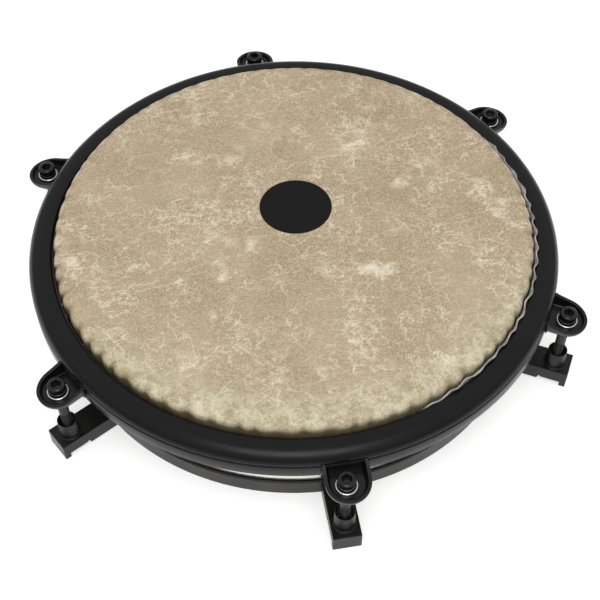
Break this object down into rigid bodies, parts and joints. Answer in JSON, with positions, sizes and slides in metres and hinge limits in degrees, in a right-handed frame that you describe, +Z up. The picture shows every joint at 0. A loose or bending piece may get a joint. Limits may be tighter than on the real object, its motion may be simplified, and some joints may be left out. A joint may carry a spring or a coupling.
{
  "type": "conga drum",
  "caption": "Low-profile conga: a mottled film head on a shallow round shell, stretched by a rolled steel hoop that socket-head bolts draw down onto the feet.",
  "frame": {"origin": "on the drum's axis, in the plane of the six feet's heels, which the drum stands on", "axes": "+Z up along the drum's axis to the playing surface; +Y and -Y each point at a lug"},
  "size_m": [0.3158, 0.358, 0.071],
  "materials": {
    "film": "satin fibre-filled film, beige mottled with pale strands",
    "film_edge": "satin pale grey film edge",
    "black_hoop": "satin black powder coat",
    "black_casting": "satin black",
    "black_bolt": "black oxide, oiled",
    "zinc_steel": "bright zinc plate",
    "shell_metal": "bright, lightly brushed",
    "ring_grey": "satin dark grey"
  },
  "bodies": {
    "drum": {"shell": "shell_metal", "base_ring": "ring_grey", "head_film": "film", "lug_foot_1": "black_casting", "lug_foot_2": "black_casting", "lug_foot_3": "black_casting", "lug_foot_4": "black_casting", "lug_foot_5": "black_casting", "lug_foot_6": "black_casting", "threaded_insert_1": "zinc_steel", "threaded_insert_2": "zinc_steel", "threaded_insert_3": "zinc_steel", "threaded_insert_4": "zinc_steel", "threaded_insert_5": "zinc_steel", "threaded_insert_6": "zinc_steel", "foot_screw_1": "zinc_steel", "foot_screw_2": "zinc_steel", "foot_screw_3": "zinc_steel", "foot_screw_4": "zinc_steel", "foot_screw_5": "zinc_steel", "foot_screw_6": "zinc_steel"},
    "rim": {"counterhoop": "black_hoop", "flesh_hoop": "zinc_steel", "film_hem": "film_edge", "hoop_ear_1": "black_hoop", "hoop_ear_2": "black_hoop", "hoop_ear_3": "black_hoop", "hoop_ear_4": "black_hoop", "hoop_ear_5": "black_hoop", "hoop_ear_6": "black_hoop", "bolt_washer_1": "zinc_steel", "bolt_washer_2": "zinc_steel", "bolt_washer_3": "zinc_steel", "bolt_washer_4": "zinc_steel", "bolt_washer_5": "zinc_steel", "bolt_washer_6": "zinc_steel"},
    "bolt_1": {"tension_bolt_1": "black_bolt"},
    "bolt_2": {"tension_bolt_2": "black_bolt"},
    "bolt_3": {"tension_bolt_3": "black_bolt"},
    "bolt_4": {"tension_bolt_4": "black_bolt"},
    "bolt_5": {"tension_bolt_5": "black_bolt"},
    "bolt_6": {"tension_bolt_6": "black_bolt"}
  },
  "joints": [
    {"name": "tuning_slide", "type": "slide", "parent": "drum", "child": "rim", "axis": [0, 0, 1], "range_m": [-0.004, 0.005]},
    {"name": "bolt_1_turn", "type": "hinge", "parent": "rim", "child": "bolt_1", "pos_m": [0, -0.1675, 0.0541], "axis": [0, 0, 1], "range_deg": [-1440, 1800]},
    {"name": "bolt_2_turn", "type": "hinge", "parent": "rim", "child": "bolt_2", "pos_m": [0.14506, -0.08375, 0.0541], "axis": [0, 0, 1], "range_deg": [-1440, 1800]},
    {"name": "bolt_3_turn", "type": "hinge", "parent": "rim", "child": "bolt_3", "pos_m": [0.14506, 0.08375, 0.0541], "axis": [0, 0, 1], "range_deg": [-1440, 1800]},
    {"name": "bolt_4_turn", "type": "hinge", "parent": "rim", "child": "bolt_4", "pos_m": [0, 0.1675, 0.0541], "axis": [0, 0, 1], "range_deg": [-1440, 1800]},
    {"name": "bolt_5_turn", "type": "hinge", "parent": "rim", "child": "bolt_5", "pos_m": [-0.14506, 0.08375, 0.0541], "axis": [0, 0, 1], "range_deg": [-1440, 1800]},
    {"name": "bolt_6_turn", "type": "hinge", "parent": "rim", "child": "bolt_6", "pos_m": [-0.14506, -0.08375, 0.0541], "axis": [0, 0, 1], "range_deg": [-1440, 1800]}
  ],
  "couplings": [
    {"joint": "bolt_1_turn", "follows": "tuning_slide", "rad_per_m": 6283.2},
    {"joint": "bolt_2_turn", "follows": "tuning_slide", "rad_per_m": 6283.2},
    {"joint": "bolt_3_turn", "follows": "tuning_slide", "rad_per_m": 6283.2},
    {"joint": "bolt_4_turn", "follows": "tuning_slide", "rad_per_m": 6283.2},
    {"joint": "bolt_5_turn", "follows": "tuning_slide", "rad_per_m": 6283.2},
    {"joint": "bolt_6_turn", "follows": "tuning_slide", "rad_per_m": 6283.2}
  ]
}
